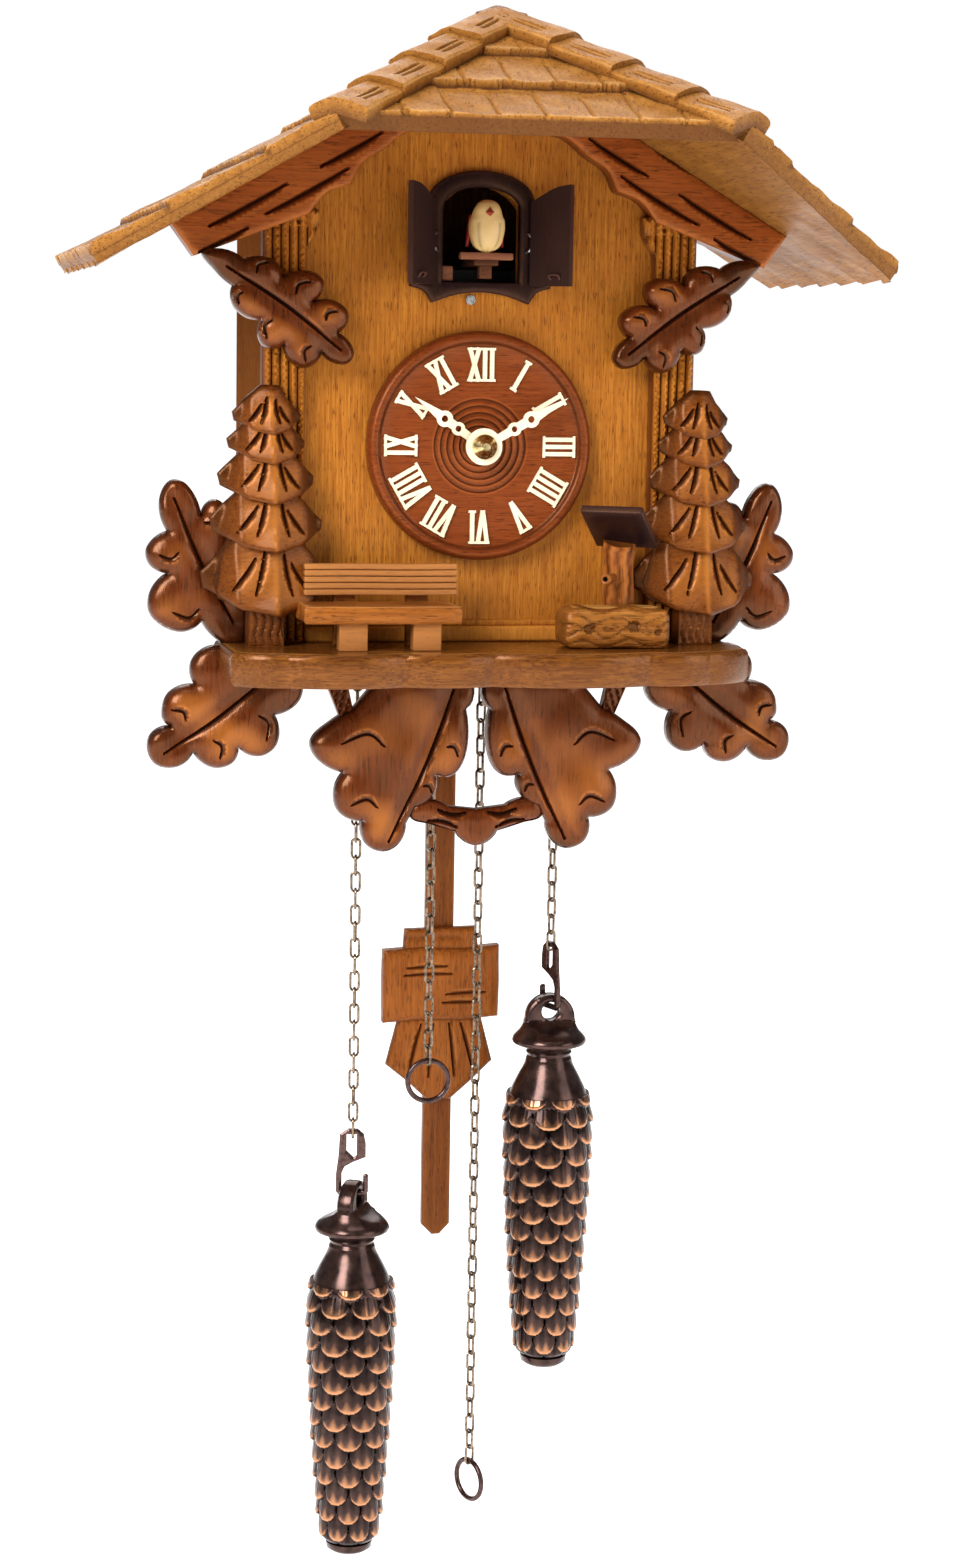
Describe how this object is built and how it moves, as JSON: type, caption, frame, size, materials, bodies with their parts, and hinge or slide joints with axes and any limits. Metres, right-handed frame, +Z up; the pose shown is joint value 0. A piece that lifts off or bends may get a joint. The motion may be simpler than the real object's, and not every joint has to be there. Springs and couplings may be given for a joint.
{
  "type": "cuckoo clock",
  "caption": "Chalet cuckoo clock: gabled wooden case with carved leaves and trees, dial, bird doors, pendulum and two cone weights on chains.",
  "frame": {"origin": "centre of the hanging hole at the case's back face, on the wall plane", "axes": "+X to the right seen from the front, +Y into the wall, +Z up"},
  "size_m": [0.2276, 0.1654, 0.4588],
  "materials": {
    "golden_wood": "stained golden brown, open grain, satin varnish",
    "case_wood": "dark stained side and back boards, satin",
    "roof_wood": "golden brown carved shingles, satin varnish",
    "carved_wood": "reddish brown glossy varnish with dark recesses",
    "shelf_wood": "golden brown glossy varnish",
    "frame_wood": "very dark brown satin",
    "dial_wood": "mid brown turned wood, dark rim",
    "bark": "carved bark, yellow brown with dark cuts, glossy",
    "cream": "cream satin plastic",
    "brass": "polished brass",
    "steel": "antique steel and brass finish",
    "bronze": "dark bronze lacquer",
    "cone_metal": "dark bronze lacquer with rubbed copper on the scales",
    "black_plastic": "black moulded plastic",
    "battery_skin": "plain wrapped cell",
    "bird_paint": "painted cream bird",
    "perch_wood": "reddish brown bar"
  },
  "bodies": {
    "case": {"front_panel": "golden_wood", "side_panel_left": "case_wood", "side_panel_right": "case_wood", "back_board": "case_wood", "roof_left": "roof_wood", "roof_right": "roof_wood", "roof_hip": "roof_wood", "hip_caps": "roof_wood", "bargeboard_left": "carved_wood", "bargeboard_right": "carved_wood", "corner_post_left": "golden_wood", "corner_post_right": "golden_wood", "base_moulding": "golden_wood", "bench_back": "carved_wood", "eave_leaf_left": "carved_wood", "eave_leaf_right": "carved_wood", "side_leaf_left": "carved_wood", "side_leaf_right": "carved_wood", "low_leaf_left": "carved_wood", "low_leaf_right": "carved_wood", "bottom_carving": "carved_wood", "tree_left": "carved_wood", "tree_right": "carved_wood", "shelf": "shelf_wood", "bench_seat": "shelf_wood", "bench_legs": "shelf_wood", "trough": "bark", "well_post": "bark", "well_roof": "frame_wood", "door_frame": "frame_wood", "dial": "dial_wood", "numerals": "cream", "back_pins": "steel", "chain_bracket": "steel", "light_sensor": "steel", "movement": "black_plastic", "cuckoo_unit": "black_plastic", "battery_holder": "black_plastic", "batteries": "battery_skin"},
    "minute": {"minute_hand": "cream", "minute_arbor": "steel", "hand_nut": "brass"},
    "hour": {"hour_hand": "cream"},
    "pendulum": {"pendulum_rod": "golden_wood", "pendulum_bob": "golden_wood"},
    "cuckoo": {"bird": "bird_paint", "bird_perch": "perch_wood"},
    "door_left": {"cuckoo_door_left": "frame_wood"},
    "door_right": {"cuckoo_door_right": "frame_wood"},
    "back_door": {"back_door": "case_wood"},
    "wheel_left": {"chain_wheel_left": "black_plastic"},
    "wheel_right": {"chain_wheel_right": "black_plastic"},
    "weight_left": {"weight_chain_left": "steel", "hook_left": "bronze", "cone_left": "cone_metal"},
    "weight_right": {"weight_chain_right": "steel", "hook_right": "bronze", "cone_right": "cone_metal"},
    "ring_left": {"ring_chain_left": "steel"},
    "ring_right": {"ring_chain_right": "steel"}
  },
  "joints": [
    {"name": "minute_turn", "type": "hinge", "parent": "case", "child": "minute", "pos_m": [0, -0.08, -0.09], "axis": [0, 1, 0], "continuous": true},
    {"name": "hour_turn", "type": "hinge", "parent": "case", "child": "hour", "pos_m": [0, -0.08, -0.09], "axis": [0, 1, 0], "continuous": true},
    {"name": "pendulum_swing", "type": "hinge", "parent": "case", "child": "pendulum", "pos_m": [0, -0.035, -0.088], "axis": [0, 1, 0], "range_deg": [-6, 6]},
    {"name": "cuckoo_slide", "type": "slide", "parent": "case", "child": "cuckoo", "axis": [0, 1, 0], "range_m": [0, 0.022]},
    {"name": "door_left_turn", "type": "hinge", "parent": "case", "child": "door_left", "pos_m": [-0.0151, -0.0847, -0.031], "axis": [0, 0, 1], "range_deg": [0, 126]},
    {"name": "door_right_turn", "type": "hinge", "parent": "case", "child": "door_right", "pos_m": [0.0151, -0.0847, -0.031], "axis": [0, 0, 1], "range_deg": [-126, 0]},
    {"name": "back_door_turn", "type": "hinge", "parent": "case", "child": "back_door", "pos_m": [0.0394, -0.00235, -0.084], "axis": [0, 0, -1], "range_deg": [0, 105]},
    {"name": "weight_left_slide", "type": "slide", "parent": "case", "child": "weight_left", "axis": [0, 0, 1], "range_m": [-0.038, 0.06]},
    {"name": "ring_left_slide", "type": "slide", "parent": "case", "child": "ring_left", "axis": [0, 0, 1], "range_m": [-0.06, 0.038]},
    {"name": "wheel_left_turn", "type": "hinge", "parent": "case", "child": "wheel_left", "pos_m": [-0.01865, -0.058, -0.088], "axis": [0, 1, 0], "range_deg": [-191.84, 302.89]},
    {"name": "weight_right_slide", "type": "slide", "parent": "case", "child": "weight_right", "axis": [0, 0, 1], "range_m": [-0.038, 0.06]},
    {"name": "ring_right_slide", "type": "slide", "parent": "case", "child": "ring_right", "axis": [0, 0, 1], "range_m": [-0.06, 0.038]},
    {"name": "wheel_right_turn", "type": "hinge", "parent": "case", "child": "wheel_right", "pos_m": [0.01865, -0.058, -0.088], "axis": [0, 1, 0], "range_deg": [-302.89, 191.84]}
  ],
  "couplings": [
    {"joint": "hour_turn", "follows": "minute_turn", "ratio": 0.083333},
    {"joint": "door_left_turn", "follows": "cuckoo_slide", "rad_per_m": 99.96},
    {"joint": "door_right_turn", "follows": "cuckoo_slide", "rad_per_m": -99.96},
    {"joint": "ring_left_slide", "follows": "weight_left_slide", "ratio": -1},
    {"joint": "wheel_left_turn", "follows": "weight_left_slide", "rad_per_m": 88.106},
    {"joint": "ring_right_slide", "follows": "weight_right_slide", "ratio": -1},
    {"joint": "wheel_right_turn", "follows": "weight_right_slide", "rad_per_m": -88.106}
  ]
}
